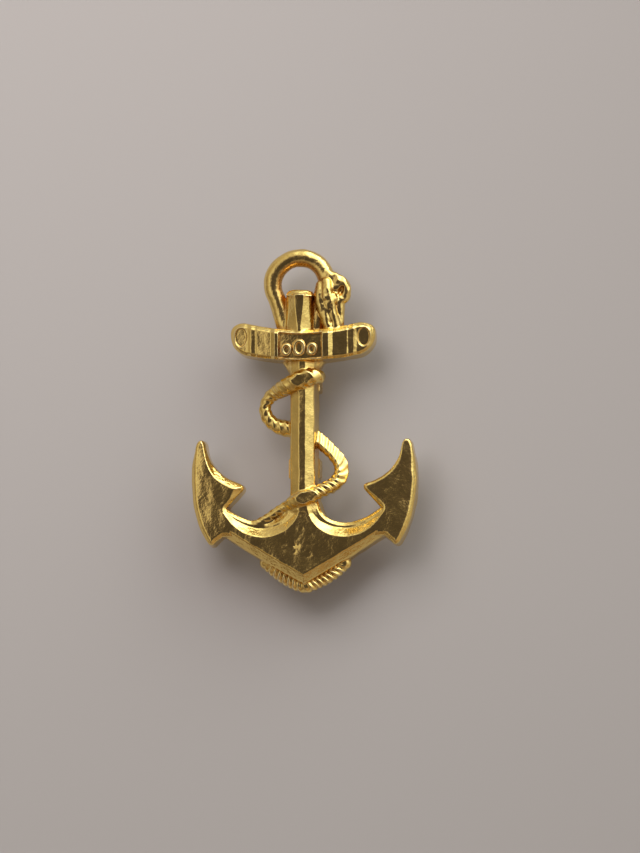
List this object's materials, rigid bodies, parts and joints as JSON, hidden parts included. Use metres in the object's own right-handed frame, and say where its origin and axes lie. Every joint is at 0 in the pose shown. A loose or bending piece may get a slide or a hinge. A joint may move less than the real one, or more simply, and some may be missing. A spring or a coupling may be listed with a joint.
{
  "type": "sew-on anchor button",
  "caption": "Gold-plated cast sew-on button shaped as an anchor with its rope wound round the shank, held by two thread lugs on its flat back.",
  "frame": {"origin": "middle of the button's outline, at the level of the feet of its two sewing lugs", "axes": "+X to the right across the face, +Y up the shank to the ring, +Z out of the face"},
  "size_m": [0.021, 0.032, 0.006],
  "materials": {
    "face_gold": "polished gold plating over a slightly uneven casting",
    "rope_gold": "polished gold plating on laid rope strands",
    "lug_gold": "duller gold plating, as cast"
  },
  "bodies": {
    "root": {"shank": "face_gold", "shank_head": "face_gold", "anchor_ring": "face_gold", "stock_centre_block": "face_gold", "stock_left_arm": "face_gold", "stock_right_arm": "face_gold", "stock_bead_left": "rope_gold", "stock_bead_centre": "rope_gold", "stock_bead_right": "rope_gold", "crown": "face_gold", "left_arm": "face_gold", "right_arm": "face_gold", "left_fluke": "face_gold", "right_fluke": "face_gold", "rope_knot": "rope_gold", "rope_fall_inner": "rope_gold", "rope_fall_middle": "rope_gold", "rope_fall_outer": "rope_gold", "rope_upper_turn": "rope_gold", "rope_lower_turn": "rope_gold", "rope_tail": "rope_gold", "rope_crown_turn": "rope_gold", "upper_sewing_lug": "lug_gold", "lower_sewing_lug": "lug_gold"}
  },
  "joints": []
}
